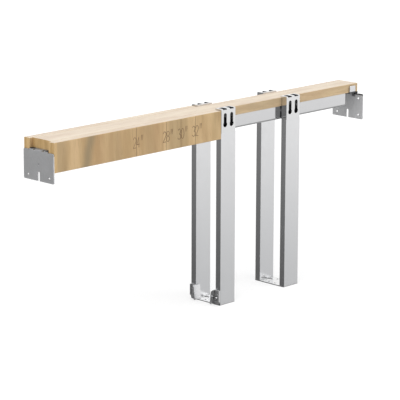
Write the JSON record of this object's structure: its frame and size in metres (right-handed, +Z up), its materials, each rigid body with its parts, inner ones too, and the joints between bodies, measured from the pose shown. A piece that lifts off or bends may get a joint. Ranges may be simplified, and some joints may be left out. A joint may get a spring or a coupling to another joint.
{
  "type": "pocket door frame",
  "caption": "Timber header with an open-bottomed door track and nail-on end plates, on pairs of split steel studs whose floor plates leave a pocket for a sliding door.",
  "frame": {"origin": "on the floor, under the middle of the header", "axes": "+X along the header, towards the end of the pocket; -Y is the side with the size marks; +Z up"},
  "size_m": [0.934, 0.0888, 0.4286],
  "materials": {
    "header_timber": "planed softwood",
    "track_aluminium": "bright extruded",
    "plate_steel": "dull galvanised",
    "stud_steel": "bright galvanised",
    "hanger_steel": "bright zinc plate",
    "floor_steel": "bright zinc plate",
    "guide_steel": "zinc plate",
    "screw_steel": "zinc plate"
  },
  "bodies": {
    "root": {"back_door_guide": "guide_steel", "back_hanger_1": "hanger_steel", "back_hanger_2": "hanger_steel", "back_nailer": "header_timber", "back_stud_1": "stud_steel", "back_stud_2": "stud_steel", "floor_plate_1": "floor_steel", "floor_plate_2": "floor_steel", "front_door_guide": "guide_steel", "front_hanger_1": "hanger_steel", "front_hanger_2": "hanger_steel", "front_nailer": "header_timber", "front_stud_1": "stud_steel", "front_stud_2": "stud_steel", "guide_screws": "screw_steel", "left_end_plate": "plate_steel", "left_plate_screws": "screw_steel", "right_end_plate": "plate_steel", "right_plate_screws": "screw_steel", "top_board": "header_timber", "track": "track_aluminium", "track_screws": "screw_steel"}
  },
  "joints": []
}
